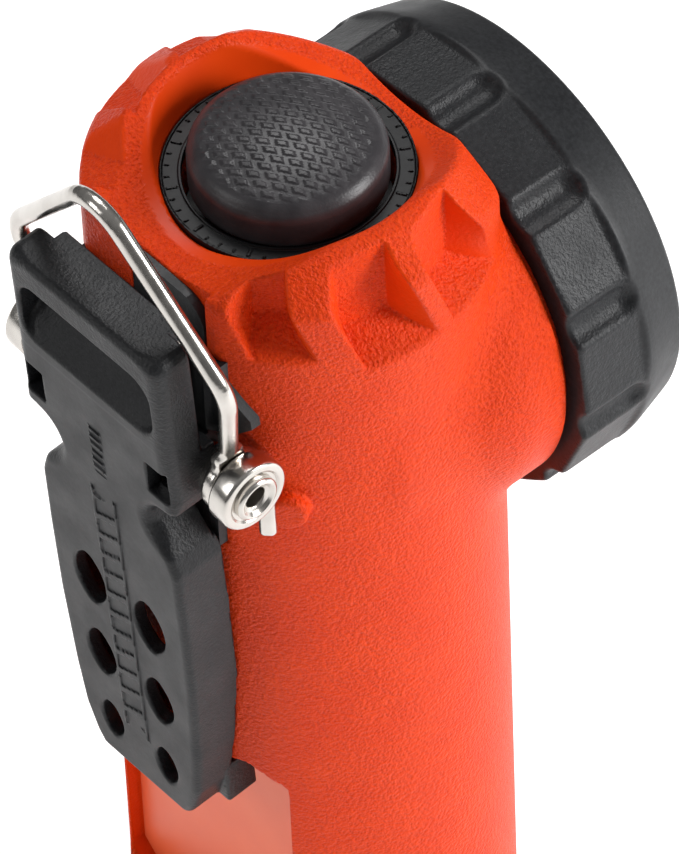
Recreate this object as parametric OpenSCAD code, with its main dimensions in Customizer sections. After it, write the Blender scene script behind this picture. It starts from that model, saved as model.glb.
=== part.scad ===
// Right-angle firefighter flashlight: a barrel stood on its base, the beam leaves along -Y near the top,
// the belt clip and D-ring are on the back (+Y). Origin: centre of the base. +Z up, millimetres.

/* [Body] */
// Height of the body from its base to the crest of the crown
body_h = 180; // [179:0.5:181]
// Outer radius of the barrel
barrel_r = 28; // [27.9:0.05:28.1]
// Wall thickness of the barrel
wall = 4.2; // [4:0.1:4.4]
// Distance from the plane of the switch ring up to the crest of the crown
crest_h = 6; // [5.5:0.1:6.2]

/* [Crown] */
// Angles of the deep finger notches, on the crown's left side
notch_angles = [136, 172, 205]; // [130:1:210]
// Angles of the shallow notches, on the crown's right side
step_angles = [-15, 17, 48]; // [-20:1:50]
// Distance of each notch's inner corner from the barrel axis
notch_r = 22.5; // [22:0.1:23]
// Depth of each notch's inner corner below the switch ring
notch_depth = 5.5; // [5:0.1:6]
// Half of the angle between the two walls of a notch
notch_half = 48; // [44:1:50]
// Slope of a notch's floor
notch_slope = 40; // [36:1:44]

/* [Head] */
// Depth of the beam axis below the switch ring
head_drop = 37.2; // [37:0.1:37.4]
// Outer radius of the head
head_r = 31.4; // [31.2:0.1:31.6]
// Distance of the head's front shoulder from the barrel axis
head_front = 20.6; // [20.4:0.1:20.8]
// Outer radius of the threaded spigot that carries the facecap
spigot_r = 29.6; // [29.5:0.05:29.7]

/* [Facecap] */
// Outer radius at the ridge
cap_r = 34.65; // [34.5:0.05:34.8]
// Distance of the facecap's rear edge from the barrel axis
cap_rear = 22.2; // [22.1:0.05:22.3]
// Distance of the facecap's ridge from the barrel axis
cap_ridge = 33.1; // [33:0.1:33.5]
// Distance of the facecap's front rim from the barrel axis
cap_front = 41.4; // [41.2:0.1:41.6]
// Number of grip grooves
cap_grooves = 12; // [8:1:12]

/* [Switch] */
// Outer radius of the label ring
ring_r = 17.25; // [17:0.05:17.3]
// Radius of the rubber button
button_r = 13.6; // [13.4:0.1:13.7]
// Travel of the button
button_travel = 1.8; // [1.5:0.1:2]

/* [Clip and D-ring] */
// Distance of the clip's pivot behind the barrel axis
pivot_y = 27; // [26.9:0.05:27.1]
// Depth of the clip's pivot below the switch ring
pivot_drop = 26.7; // [26.5:0.1:26.9]
// Radius of the tubular rivet
pin_r = 2.5; // [2.4:0.05:2.6]
// Lean of the clip's face from upright
clip_lean = 3.06; // [3:0.02:3.2]
// Lean of the D-ring from upright
ring_lean = 7.5; // [7:0.5:8]
// Wire diameter of the D-ring
wire_d = 2.8; // [2.6:0.1:3]

/* [Tail] */
// Height of the tail cap
tail_h = 15; // [14:0.5:16]
// Radius of the tail cap
tail_r = 28.6; // [28.4:0.1:28.8]

/* [Hidden] */
$fn = 96;

ring_z = body_h - crest_h;
head_z = ring_z - head_drop;
pivot_z = ring_z - pivot_drop;
run = 0.05;             // radial clearance of a running fit
gap = 0.3;              // gap between neighbouring bodies
far = 100;

// Crown
crown_edge = 0.4;       // the crown's outer edge lies this far below the switch ring
crown_top_r = 21.2;
crown_crest_r = 22.4;
step_half = 4.5;        // half width of a shallow notch
saddle_r = 28.8;        // radius of the trough that dishes the crown from front to back
saddle_low = 0.8;       // the trough's bottom lies this far below the switch ring
well_r = ring_r + 0.1;
ring_t = 1.6;
switch_hole_r = 14.4;
flat_y = 24.6;          // flat on the upper back, behind the clip
flat_z = ring_z - 46;

// Barrel
panel_y = 18.1;         // floor of the recess on the lower back
panel_half = 18.4;
panel_top = ring_z - 93;
panel_low = 26;
panel_t = 0.5;
panel_corner = 4.6;
bore_r = barrel_r - wall;
bore_top = 98;
chamber_r = 20;
chamber_top = 163;
bulkhead_z = 98.4;

// Tail
tail_spigot_r = 25.9;
tail_spigot_z = 5;
tail_gap = 0.4;
tail_floor = 3.2;
tail_scallops = 12;

// Head
head_bore_r = 26.9;
head_bore_back = 1;     // the head's bore starts this far in front of the barrel axis
spigot_front = 36.6;
flare_back = 2;
flare_front = 10;
cap_room = 0.8;         // space between the turning facecap and the barrel below it
lens_r = 28.6;
lens_t = 3;
lens_y = -37.6;         // rear face of the lens
oring_y = cap_rear + 2.4;
seal_groove = 1.25;
seal_r = 0.6;
seal_z = 10;
groove_phase = 8;

// Bracket
bracket_t = 1.4;
tongue_left = -10.9;    // the tongue backs the spring's long leg, on one side only
tongue_right = 3.5;
tongue_low = ring_z - 11.6;

// Clip, in its own plane: u across, v up from the pivot, w out from the pivot
face_w = 8.63;
clip_top = 27;
clip_low = -76;
clip_half = 15.3;
plate_t = 2.3;
clip_in = 12.7;         // inner half width between the clip's side walls
tooth_v = -67.2;
ear_in = 9.6;
ear_out = 12.2;
ear_r = 3.4;
eye_in = 17;
eye_out = 19.1;
eye_r = 4.9;
washer_out = 21.6;
rivet_end = 22.1;
rivet_bore_r = 1.6;
wire_r = wire_d / 2;

// D-ring outline in its own plane: half width and height above the pivot
ring_corner = [21.7, 21.4];
ring_apex = 47.7;
corner_bend = 7;
apex_bend = 6;

orange = "#f4451c";
salmon = "#f9785a";
black = "#26262a";
steel = "#c9c7c2";

module along_y() { rotate([90, 0, 0]) children(); }
module along_x() { rotate([0, 90, 0]) children(); }
module at_head() { translate([0, 0, head_z]) children(); }
module at_pivot() { translate([0, pivot_y, pivot_z]) children(); }
module both_sides() {
    children();
    mirror([1, 0, 0]) children();
}
module tube(r_out, r_in, h) {
    difference() {
        cylinder(r = r_out, h = h);
        translate([0, 0, -1]) cylinder(r = r_in, h = h + 2);
    }
}
module bar(x0, x1, y0, y1, z0, z1) {
    translate([x0, y0, z0]) cube([x1 - x0, y1 - y0, z1 - z0]);
}
function arc_points(c, r, a0, a1, n = 6) =
    [for (i = [0 : n]) c + r * [cos(a0 + (a1 - a0) * i / n), sin(a0 + (a1 - a0) * i / n)]];
function mirrored(points) = [for (i = [len(points) - 1 : -1 : 0]) [-points[i][0], points[i][1]]];

// ---- housing ----
module crown_blank() {
    rotate_extrude() polygon([[0, ring_z - 12], [barrel_r, ring_z - 12], [barrel_r, ring_z - crown_edge - 0.8],
        [barrel_r - 0.7, ring_z - crown_edge + 0.7], [crown_crest_r, ring_z + crest_h - 0.5],
        [crown_top_r, ring_z + crest_h], [0, ring_z + crest_h]]);
}
module notch_step(a) {
    rotate([0, 0, a]) translate([0, step_half, ring_z]) along_y() linear_extrude(height = 2 * step_half)
        polygon([[21.5, 7], [22.9, 0.3], [28.6, -0.8], [32, -0.8], [32, 20], [21.5, 20]]);
}
module notch_wedge(a) {
    rotate([0, 0, a]) translate([notch_r, 0, ring_z - notch_depth])
        intersection() {
            translate([0, 0, -15]) linear_extrude(height = 45)
                polygon([[0, 0], [20, 20 * tan(notch_half)], [20, -20 * tan(notch_half)]]);
            rotate([0, notch_slope, 0]) translate([-30, -30, 0]) cube([60, 60, 60]);
        }
}
module panel_outline() {
    polygon([[-panel_half, panel_low + panel_corner], [-panel_half + panel_corner, panel_low],
        [panel_half - panel_corner, panel_low], [panel_half, panel_low + panel_corner],
        [panel_half, panel_top - panel_corner], [panel_half - panel_corner, panel_top],
        [-panel_half + panel_corner, panel_top], [-panel_half, panel_top - panel_corner]]);
}
module housing() color(orange) {
    difference() {
        union() {
            difference() {
                union() {
                    translate([0, 0, tail_h]) cylinder(r = barrel_r, h = ring_z - tail_h - 10);
                    crown_blank();
                    at_head() along_y() translate([0, 0, flare_back])
                        cylinder(r1 = barrel_r - 0.1, r2 = head_r, h = flare_front - flare_back);
                    at_head() along_y() translate([0, 0, flare_front])
                        cylinder(r = head_r, h = head_front - flare_front);
                }
                at_head() along_y() translate([0, 0, head_front]) cylinder(r = cap_r + cap_room, h = far);
                bar(-far, far, -far, -head_front, head_z, 2 * far);
            }
            difference() {
                at_head() along_y() cylinder(r = spigot_r, h = spigot_front);
                at_head() along_y() translate([0, 0, oring_y - 0.8])
                    tube(spigot_r + 1, spigot_r - seal_groove, 1.6);
            }
            difference() {
                translate([0, 0, tail_spigot_z]) cylinder(r = tail_spigot_r, h = tail_h);
                translate([0, 0, seal_z - 0.8]) tube(tail_spigot_r + 1, tail_spigot_r - seal_groove, 1.6);
            }
            translate([-19.5, 20.1, ring_z - 36.8]) rotate([0, 90, 134]) translate([0, 0, -3])
                cylinder(r = 2.6, h = 4.6, $fn = 32);
            translate([19.5, 20.1, ring_z - 36.8]) rotate([0, 90, 46]) translate([0, 0, -3])
                cylinder(r = 2.6, h = 4.6, $fn = 32);
        }
        // bores
        difference() {
            translate([0, 0, -1]) cylinder(r = bore_r, h = bore_top + 1);
            bar(-far, far, panel_y - 2.6, far, tail_h + 4, bore_top + 2);
        }
        translate([0, 0, bore_top - 1]) cylinder(r = chamber_r, h = chamber_top - bore_top + 1);
        translate([0, 0, chamber_top - 1]) cylinder(r = switch_hole_r, h = 30);
        at_head() along_y() translate([0, 0, head_bore_back]) cylinder(r = head_bore_r, h = far);
        // switch well and the dished crown
        translate([0, 0, ring_z - ring_t]) cylinder(r = well_r, h = 20);
        translate([0, 0, ring_z]) cylinder(r1 = well_r, r2 = well_r + 2.5, h = crest_h + 0.1);
        translate([0, 0, ring_z - saddle_low + saddle_r]) along_y() translate([0, 0, -far])
            cylinder(r = saddle_r, h = 2 * far, $fn = 160);
        for (a = notch_angles) notch_wedge(a);
        for (a = step_angles) notch_step(a);
        // flats and recesses on the back
        bar(-far, far, flat_y, far, flat_z, 2 * far);
        bar(-11.2, 3.8, flat_y - 1.4, far, ring_z - 12, 2 * far);
        translate([0, panel_y + far, 0]) along_y() linear_extrude(height = far) panel_outline();
        at_pivot() along_x() translate([0, 0, -24]) cylinder(r = 5.6, h = 48);
        for (z = screw_rows, s = [-1, 1])
            translate([s * screw_x, flat_y + 1, z]) along_y() cylinder(r = 1.25, h = 5, $fn = 24);
    }
}
screw_x = 5.2;
screw_rows = [pivot_z - 14, pivot_z + 12];

module back_panel() color(salmon)
    translate([0, panel_y + panel_t, 0]) along_y() linear_extrude(height = panel_t)
        offset(delta = -0.4) panel_outline();

// ---- switch ----
module switch_ring() color(black) {
    translate([0, 0, ring_z - ring_t]) tube(ring_r, switch_hole_r, ring_t);
}
module switch_button() color("#4a494d") {
    translate([0, 0, ring_z - 1]) rotate_extrude() polygon(concat(
        [[0, 3.8], [button_r - 2, 3.8], [button_r - 2, 0], [button_r, 0], [button_r, 5]],
        arc_points([button_r - 2.2, 5], 2.2, 0, 62, 5),
        [for (i = [5 : -1 : 0]) [(button_r - 2.6) * i / 6, 8.6 - 1.6 * pow((button_r - 2.6) * i / 6 / 11, 2)]]));
}
module button_plunger() color("#8d8d90")
    translate([0, 0, ring_z - 9.4]) {
        cylinder(r = 3, h = 12.2);
        translate([0, 0, 9.4]) cylinder(r = 6, h = 2.8);
    }
module button_spring() color(steel)
    translate([0, 0, ring_z - 7.2]) for (i = [0 : 4]) translate([0, 0, i * 1.5])
        rotate_extrude() translate([4.4, 0]) circle(r = 0.45, $fn = 16);
module switch_body() color("#3a3a3e")
    difference() {
        translate([0, 0, ring_z - 20]) union() {
            cylinder(r = switch_hole_r - 0.2, h = 12);
            cylinder(r = 16.5, h = 3);
        }
        translate([0, 0, ring_z - 13]) cylinder(r = 3 + run, h = 12);
    }
module driver_board() color("#1f6b3a")
    bar(-15, 15, 8, 9.6, ring_z - 62, ring_z - 24);
module terminal_plate() color("#3a3a3e")
    translate([0, 0, bulkhead_z]) difference() {
        union() {
            cylinder(r = chamber_r - 0.2, h = 5);
            for (x = [-7.4, 7.4]) translate([x, 0, -2]) cylinder(r = 3.4, h = 3, $fn = 48);
        }
        translate([0, 0, 3]) cylinder(r = chamber_r - 3, h = 4);
    }

// ---- head ----
module cap_blank() {
    at_head() along_y() rotate_extrude() polygon([[0, cap_rear], [33.6, cap_rear], [34.4, cap_rear + 0.9],
        [cap_r, cap_ridge], [33.3, cap_front - 1.4], [32.4, cap_front - 0.5], [31.4, cap_front], [0, cap_front]]);
}
module facecap() color(black)
    difference() {
        cap_blank();
        at_head() along_y() cylinder(r = spigot_r + run, h = -lens_y - 0.8);
        at_head() along_y() cylinder(r = lens_r + 0.2, h = -lens_y + lens_t + 0.1);
        at_head() along_y() cylinder(r = 26.6, h = far);
        for (i = [0 : cap_grooves - 1]) at_head() rotate([0, -(groove_phase + i * 360 / cap_grooves), 0])
            translate([36.8, 0, 0]) along_y() translate([0, 0, cap_rear - 1]) rotate([0, 3, 0])
                cylinder(r = 3.4, h = cap_ridge - cap_rear + 0.6, $fn = 48);
    }
module lens() color("#cfe3ee")
    at_head() along_y() translate([0, 0, -lens_y]) cylinder(r = lens_r, h = lens_t);
module lens_gasket() color("#141414")
    at_head() along_y() translate([0, 0, -lens_y - 0.8]) tube(lens_r, 26.7, 0.8);
module reflector() color("#e8e8ea")
    at_head() along_y() rotate_extrude() polygon(concat(
        [[26.5, 36.4], [26.5, 35.2], [25.9, 35.2]],
        [for (i = [6 : -1 : 1]) [5 + 20.9 * i / 6, 14 + 20.4 * pow(i / 6, 2) - 0.0]],
        [[4.2, 14], [4.2, 15.2]],
        [for (i = [1 : 6]) [4.2 + 20.5 * i / 6, 15.2 + 20.6 * pow(i / 6, 2)]],
        [[25.2, 36.4]]));
module heat_sink() color("#b9bcc0")
    at_head() along_y() union() {
        translate([0, 0, 3]) cylinder(r = 17, h = 5);
        translate([0, 0, 8]) cylinder(r = 11, h = 3);
        for (x = [-12 : 6 : 12]) translate([x - 0.8, -12, 1.4]) cube([1.6, 24, 2]);
    }
module led_board() color("#f2f2f2") at_head() along_y() translate([0, 0, 11]) cylinder(r = 9, h = 1.6);
module led_emitter() color("#f6e27a")
    at_head() along_y() translate([0, 0, 12.6]) union() {
        translate([-2.4, -2.4, 0]) cube([4.8, 4.8, 0.8]);
        translate([0, 0, 0.8]) intersection() {
            sphere(r = 2, $fn = 48);
            cylinder(r = 3, h = 3);
        }
    }
module head_oring() color("#141414")
    at_head() along_y() translate([0, 0, oring_y]) rotate_extrude() translate([spigot_r - seal_r - 0.02, 0])
        circle(r = seal_r, $fn = 24);

// ---- clip, bracket and pivot ----
module bracket_wings() {
    intersection() {
        translate([0, 0, pivot_z - 40]) tube(barrel_r + 1.2, barrel_r, 80);
        translate([0, far, pivot_z]) along_y() linear_extrude(height = far)
            both_sides() polygon([[12.4, 18.6], [17.8, 8], [17.9, 6.4], [15.8, 4.8], [12.4, 4.8]]);
    }
}
module clip_bracket() color(black)
    difference() {
        union() {
            bar(-13.2, 13.2, flat_y, flat_y + bracket_t, pivot_z - 19, pivot_z + 18);
            translate([0, flat_y, 0]) along_y() linear_extrude(height = 1.3) polygon(concat(
                [[tongue_right, tongue_low], [tongue_right, ring_z - 1]],
                arc_points([tongue_left + 4.5, ring_z - 5.5], 4.5, 90, 180), [[tongue_left, tongue_low]]));
            bar(tongue_left, tongue_right, flat_y - 1, flat_y + 0.6, tongue_low, tongue_low + 3);
            difference() {
                both_sides() bar(12.4, 14.6, 23.6, flat_y + bracket_t, pivot_z + 6.6, pivot_z + 17.9);
                cylinder(r = barrel_r, h = body_h);
            }
            bracket_wings();
            at_pivot() both_sides() along_x() translate([0, 0, ear_in]) cylinder(r = ear_r, h = ear_out - ear_in);
            both_sides() bar(ear_in, ear_out, flat_y, pivot_y, pivot_z - ear_r, pivot_z + ear_r);
        }
        both_sides() bar(ear_out, 16, 20, 27, pivot_z - 5, pivot_z + 4.7);
        bar(-ear_in, ear_in, 20, 27, pivot_z - 5.2, pivot_z + 5.2);
        at_pivot() along_x() translate([0, 0, -20]) cylinder(r = pin_r, h = 40);
        for (z = screw_rows, s = [-1, 1])
            translate([s * screw_x, flat_y + 5, z]) along_y() cylinder(r = 1.45, h = 8, $fn = 24);
    }
module bracket_screws() color(steel)
    for (z = screw_rows, s = [-1, 1]) translate([s * screw_x, flat_y + 1.4, z]) along_y() difference() {
        union() {
            cylinder(r = 1.25, h = 5, $fn = 24);
            translate([0, 0, -1.2]) cylinder(r = 2.4, h = 1.2, $fn = 32);
        }
        translate([0, 0, -1.3]) cylinder(r = 1.1, h = 0.8, $fn = 6);
    }
module torsion_spring() color(steel) {
    at_pivot() for (i = [0 : 4]) translate([-7.4 + i * 1.7, 0, 0]) along_x()
        rotate_extrude() translate([3.6, 0]) circle(r = 0.75, $fn = 16);
    translate([-8.6, pivot_y + 0.4, pivot_z + 3.6]) cylinder(r = 0.75, h = 19, $fn = 16);
}
module spring_anchor() color(steel)
    both_sides() translate([-18.7, 21.6, ring_z - 35.8]) rotate([0, 0, -46]) difference() {
        translate([-2.4, -1.2, -4.2]) cube([4.8, 2.2, 7.4]);
        translate([-1, -2, -5]) cube([2, 2.2, 6]);
    }
module pivot_rivet() color(steel)
    at_pivot() along_x() difference() {
        union() {
            translate([0, 0, -rivet_end]) cylinder(r = pin_r, h = 2 * rivet_end);
            for (s = [-1, 1]) translate([0, 0, s * (washer_out + 0.5) - 0.5]) cylinder(r = 3.3, h = 1);
        }
        translate([0, 0, -rivet_end - 2]) cylinder(r = rivet_bore_r, h = 2 * rivet_end + 4);
    }
module pivot_washers() color(steel)
    at_pivot() both_sides() along_x() translate([0, 0, eye_out + 0.15])
        tube(4.9, pin_r, washer_out - eye_out - 0.15);
module pivot_spacers() color(steel)
    at_pivot() both_sides() along_x() translate([0, 0, clip_half + 0.3]) tube(3.6, pin_r, eye_in - clip_half - 0.5);

// Clip outline, half of it, from the bottom up: [across, up]
clip_edge = concat([[0, clip_low], [8.4, clip_low], [9.6, -75.4], [11.6, -71.4], [12.6, -66], [13.4, -56], [14.1, -44],
    [14.3, -30], [14.2, -19], [13.6, -16.4]], [[12.2, -14.4], [9.2, -9.6], [9, -8.4], [9.6, -7.2]],
    [[12.6, -5.6], [14.7, -4.6], [clip_half, -3.6], [clip_half, 24.5], [13.4, clip_top], [0, clip_top]]);
clip_hollow = concat([[0, clip_low + 2.4], [7.4, clip_low + 2.4], [9.3, -70.6], [10.3, -66], [11.1, -56], [11.8, -44],
    [12, -30], [11.9, -19], [11.2, -17], [6.8, -10], [6.8, -8], [8, -6.2]],
    [[clip_in, -3.2], [clip_in, 24], [0, 24]]);
module at_clip() { at_pivot() rotate([-clip_lean, 0, 0]) children(); }
module clip_slab(w0, w1) {
    translate([0, w1, 0]) along_y() linear_extrude(height = w1 - w0) children();
}
module round_slot(half_w, half_h, r) {
    both_sides() for (s = [-1, 1]) translate([half_w - r, s * (half_h - r)]) circle(r = r, $fn = 32);
    square([2 * half_w, 2 * (half_h - r)], center = true);
    square([2 * (half_w - r), 2 * half_h], center = true);
}
module leaf(w, h) { scale([w / h, 1]) circle(r = h / 2, $fn = 40); }
module clip_holes() {
    translate([0, 16.2]) round_slot(13.3, 5.4, 4);
    both_sides() translate([12.6, 1.3]) square([3.9, 6], center = true);
    both_sides() translate([6.2, -35.8]) leaf(6.4, 10);
    both_sides() translate([6.1, -52.4]) leaf(5.6, 9);
    both_sides() translate([5.8, -67.6]) leaf(4.2, 7);
}
module belt_clip() color(black)
    at_clip() difference() {
        union() {
            clip_slab(0.4, face_w) polygon(concat(clip_edge, mirrored(clip_edge)));
            both_sides() bar(8.4, 12.3, -1.8, 3, clip_low + 4.4, tooth_v);
            both_sides() along_x() translate([0, 0, clip_in]) cylinder(r = 3.8, h = clip_half - clip_in);
        }
        clip_slab(-8, face_w - plate_t) polygon(concat(clip_hollow, mirrored(clip_hollow)));
        clip_slab(-8, face_w + 4) clip_holes();
        both_sides() bar(clip_in - 1, clip_half + 1, -8, 2.6, 6, clip_top + 1);
        both_sides() bar(8, clip_half + 1, -8, 2.6, -15.8, -4.6);
        along_x() translate([0, 0, -20]) cylinder(r = pin_r + run, h = 40);
        rotate([clip_lean, 0, 0]) {
            bar(-12, 12, -8, 2.2, -4, clip_top + 2);
            translate([0, -pivot_y, panel_top - pivot_z - 0.3]) cylinder(r = barrel_r + 0.4, h = 100);
        }
    }

// D-ring: straight lengths of wire between bends, [across, up] in the ring's plane
leg_foot = [18.05, 3.6];
leg_dir = (ring_corner - leg_foot) / norm(ring_corner - leg_foot);
slant_dir = [-ring_corner[0], ring_apex - ring_corner[1]] / norm([ring_corner[0], ring_apex - ring_corner[1]]);
leg_angle = atan2(leg_dir[1], leg_dir[0]);
slant_angle = atan2(slant_dir[1], slant_dir[0]);
corner_setback = corner_bend * tan((slant_angle - leg_angle) / 2);
leg_end = ring_corner - corner_setback * leg_dir;
apex_half = 180 - slant_angle;
slant_end = [0, ring_apex] - apex_bend * tan(apex_half) * slant_dir;
function on_bend(from, heading, radius, turn, n) = [for (i = [0 : n]) let (h = heading + turn * i / n)
    [from[0] + radius * (sin(h) - sin(heading)), from[1] + radius * (cos(heading) - cos(h)), h]];
half_path = concat([[leg_foot[0], leg_foot[1], leg_angle]],
    on_bend(leg_end, leg_angle, corner_bend, slant_angle - leg_angle, 9),
    on_bend(slant_end, slant_angle, apex_bend, apex_half, 6));
ring_path = concat(half_path,
    [for (i = [len(half_path) - 2 : -1 : 0]) [-half_path[i][0], half_path[i][1], 360 - half_path[i][2]]]);
wire_sides = 20;
module swept_wire(path, n) {
    last = len(path) - 1;
    polyhedron(
        [for (p = path, i = [0 : n - 1]) let (c = wire_r * cos(i * 360 / n))
            [p[0] - c * sin(p[2]), wire_r * sin(i * 360 / n), p[1] + c * cos(p[2])]],
        concat([[for (i = [n - 1 : -1 : 0]) i]], [[for (i = [0 : n - 1]) last * n + i]],
            [for (k = [0 : last - 1], i = [0 : n - 1]) [k * n + i, k * n + (i + 1) % n,
                (k + 1) * n + (i + 1) % n, (k + 1) * n + i]]));
}
module d_ring() color(steel)
    at_pivot() rotate([-ring_lean, 0, 0]) difference() {
        union() {
            swept_wire(ring_path, wire_sides);
            both_sides() along_x() translate([0, 0, eye_in]) cylinder(r = eye_r, h = eye_out - eye_in);
        }
        along_x() translate([0, 0, -30]) cylinder(r = pin_r + run, h = 60);
        both_sides() along_x() translate([0, 0, eye_out]) cylinder(r = eye_r + 0.5, h = 5);
        along_x() translate([0, 0, -eye_in]) cylinder(r = eye_r + 0.5, h = 2 * eye_in);
    }

// ---- tail and battery ----
module tail_cap() color(black)
    difference() {
        union() {
            rotate_extrude() polygon([[0, 0], [tail_r - 1.6, 0], [tail_r, 1.6], [tail_r, tail_h - 1.6],
                [tail_r - 0.8, tail_h - tail_gap], [0, tail_h - tail_gap]]);
        }
        translate([0, 0, tail_floor]) cylinder(r = tail_spigot_r + run, h = tail_h);
        for (i = [0 : tail_scallops - 1]) rotate([0, 0, i * 360 / tail_scallops])
            translate([tail_r + 5.2, 0, -1]) cylinder(r = 6, h = tail_h - 2, $fn = 48);
    }
module tail_seal() color("#141414")
    translate([0, 0, seal_z]) rotate_extrude() translate([tail_spigot_r - seal_r - 0.02, 0])
        circle(r = seal_r, $fn = 24);
module tail_spring() color(steel)
    translate([0, 0, tail_floor + 0.6]) for (i = [0 : 3]) translate([0, 0, i * 2.2])
        rotate_extrude() translate([7 - i, 0]) circle(r = 0.6, $fn = 16);
cell_r = 7.1;
cell_h = 50.5;
cell_x = 7.4;
cells_z = 30;
carrier_r = bore_r - 0.4;
module battery_carrier() color("#3f3f44")
    difference() {
        intersection() {
            union() {
                translate([0, 0, cells_z - 8]) cylinder(r = carrier_r, h = 7);
                translate([0, 0, cells_z + cell_h + 1.2]) cylinder(r = carrier_r, h = 7);
                both_sides() bar(18, carrier_r, -9, 9, cells_z - 8, cells_z + cell_h + 8.2);
            }
            bar(-far, far, -carrier_r, panel_y - 3, 0, body_h);
            cylinder(r = carrier_r, h = body_h);
        }
        translate([0, 0, cells_z - 9]) cylinder(r = 9, h = 5);
    }
module battery_cells() color("#c79a3b")
    for (x = [-1, 1], y = [-1, 1]) translate([x * cell_x, y * cell_x, cells_z]) {
        cylinder(r = cell_r, h = cell_h - 1, $fn = 64);
        cylinder(r = 2.7, h = cell_h, $fn = 32);
    }
module cell_contacts() color(steel)
    for (x = [-1, 1]) {
        translate([x * cell_x, 0, cells_z - 0.5]) bar(-4, 4, -11, 11, -0.4, 0.4);
        translate([x * cell_x, 0, cells_z + cell_h + 0.6]) bar(-4, 4, -11, 11, -0.4, 0.4);
    }

housing();
back_panel();
switch_ring();
switch_button();
button_plunger();
button_spring();
switch_body();
driver_board();
terminal_plate();
facecap();
lens();
lens_gasket();
reflector();
heat_sink();
led_board();
led_emitter();
head_oring();
clip_bracket();
bracket_screws();
torsion_spring();
spring_anchor();
pivot_rivet();
pivot_washers();
pivot_spacers();
belt_clip();
d_ring();
tail_cap();
tail_seal();
tail_spring();
battery_carrier();
battery_cells();
cell_contacts();
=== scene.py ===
import math

import bmesh
import bpy
import numpy as np
from mathutils import Matrix, Vector


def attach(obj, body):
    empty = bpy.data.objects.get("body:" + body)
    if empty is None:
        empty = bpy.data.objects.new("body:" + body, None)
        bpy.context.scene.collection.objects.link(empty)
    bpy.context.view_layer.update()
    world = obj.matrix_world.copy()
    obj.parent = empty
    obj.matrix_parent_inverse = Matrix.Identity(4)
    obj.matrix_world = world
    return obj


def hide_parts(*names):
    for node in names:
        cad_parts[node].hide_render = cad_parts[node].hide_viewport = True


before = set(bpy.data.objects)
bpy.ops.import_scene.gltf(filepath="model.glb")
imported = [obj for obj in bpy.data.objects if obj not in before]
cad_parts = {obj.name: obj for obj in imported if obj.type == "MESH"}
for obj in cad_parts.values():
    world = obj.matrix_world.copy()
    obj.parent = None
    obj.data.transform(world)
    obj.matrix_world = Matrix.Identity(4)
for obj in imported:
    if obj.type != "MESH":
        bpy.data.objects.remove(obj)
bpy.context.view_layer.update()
MM = 0.001

# ---------------------------------------------------------------- sizes, in millimetres, in the CAD frame
RING_Z = 174.0
HEAD_Z = 136.8
PIVOT_Y, PIVOT_Z = 27.0, 147.3
BARREL_R = 28.0
WELL_R, WELL_DEPTH = 17.35, 1.6
LAND_R, LAND_TOP, LAND_WIDTH, LAND_DROP, CREST_TOP = 22.3, 5.7, 5.7, 5.1, 6.0
SADDLE_R, SADDLE_LOW = 28.8, 0.8
# turn in degrees, width and lift of the floor of each deep notch
NOTCHES = ((-36, 8.4, 2.3), (-1, 11.6, -1.4), (30, 12.0, -1.2))
NOTCH_R, NOTCH_SIDE = 22.4, 2.35
# the shallow notches on the far side of the crown
STEP_ANGLES = (-31, 0, 31)
STEP_FLOOR, STEP_R = 2.6, 21.2
HEAD_R, HEAD_FRONT = 31.4, 21.2
SPIGOT_R, SPIGOT_BACK, SPIGOT_END = 29.6, 19.0, 36.6
HEAD_BORE_R = 26.9
CAP_R, CAP_REAR, CAP_RIDGE, CAP_FRONT = 34.65, 22.2, 33.1, 41.4
PANEL_Z, PANEL_HALF_W, PANEL_HALF_H, PANEL_CORNER, PANEL_Y = 53.5, 18.4, 27.5, 4.6, 18.1
LUG_R, LUG_OUT, LUG_Z, LUG_COS, LUG_SIN = 3.0, 2.0, 137.4, 0.719, 0.695
TAIL_SPIGOT_R = 25.9
CELL_BORE_R, CHAMBER_R = 23.8, 20.0
BUTTON_R, ROW, PITCH, LOZENGE_HEIGHT = 13.6, 1.35, 2.6, 0.42
ROW_COS, ROW_SIN = 0.819, 0.574
CLIP_LEAN, CLIP_FACE = math.radians(3.06), 8.63
RING_LEAN, WIRE_R = math.radians(7.5), 1.32
EYE_R, EYE_IN, EYE_OUT = 4.9, 17.0, 19.1
RIVET_BORE_R, RIVET_R = 1.6, 2.5
COIL_R, COIL_WIRE_R, COIL_LENGTH = 3.6, 0.72, 7.9


# ---------------------------------------------------------------- distance fields and their meshes
def smax(a, b, r):
    """The part inside both a and b, its edge rounded to radius r."""
    if np.ndim(r) == 0 and r <= 0:
        return np.maximum(a, b)
    return np.minimum(np.maximum(a, b), -r) + np.hypot(np.maximum(a + r, 0), np.maximum(b + r, 0))


def smin(a, b, r):
    """The part inside a or b, with a fillet of radius r between them."""
    if r <= 0:
        return np.minimum(a, b)
    return np.maximum(np.minimum(a, b), r) - np.hypot(np.maximum(r - a, 0), np.maximum(r - b, 0))


def cut(a, b, r=0.0):
    """The part of a outside b."""
    return smax(a, -b, r)


def slab(v, lo, hi):
    """Inside where v lies between lo and hi."""
    return np.maximum(lo - v, v - hi)


def block(x, y, z, lo, hi, r=0.0):
    """A box from corner lo to corner hi with rounded edges."""
    q = [np.abs(v - (a + b) / 2) - ((b - a) / 2 - r) for v, a, b in zip((x, y, z), lo, hi)]
    outside = np.sqrt(sum(np.maximum(v, 0) ** 2 for v in q))
    return outside + np.minimum(np.maximum(q[0], np.maximum(q[1], q[2])), 0) - r


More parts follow.
